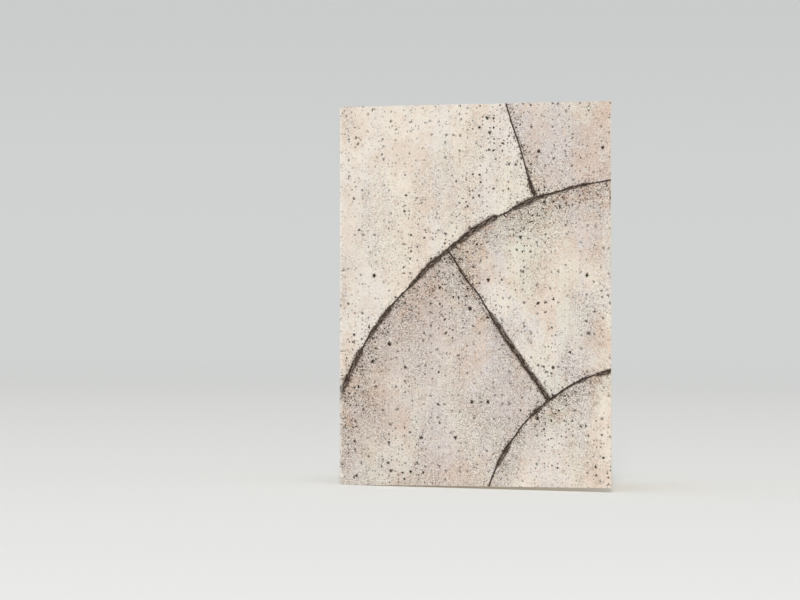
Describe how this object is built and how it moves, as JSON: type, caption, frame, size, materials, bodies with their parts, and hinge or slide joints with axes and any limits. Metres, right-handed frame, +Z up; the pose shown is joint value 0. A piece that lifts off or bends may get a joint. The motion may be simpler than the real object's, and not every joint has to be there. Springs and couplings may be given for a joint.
{
  "type": "greeting card",
  "caption": "Folded greeting card standing a little open, its front printed with a weathered stone texture, plain inside and on the back.",
  "frame": {"origin": "on the ground under the centre of the standing card's bounding box", "axes": "+Z up along the card's height, -Y out of the printed front leaf, the fold at -X and the free edges at +X"},
  "size_m": [0.1004, 0.0876, 0.1413],
  "materials": {
    "card_stock": "matt uncoated card, printed on the front leaf's outside"
  },
  "bodies": {
    "root": {"folded_card": "card_stock"}
  },
  "joints": []
}
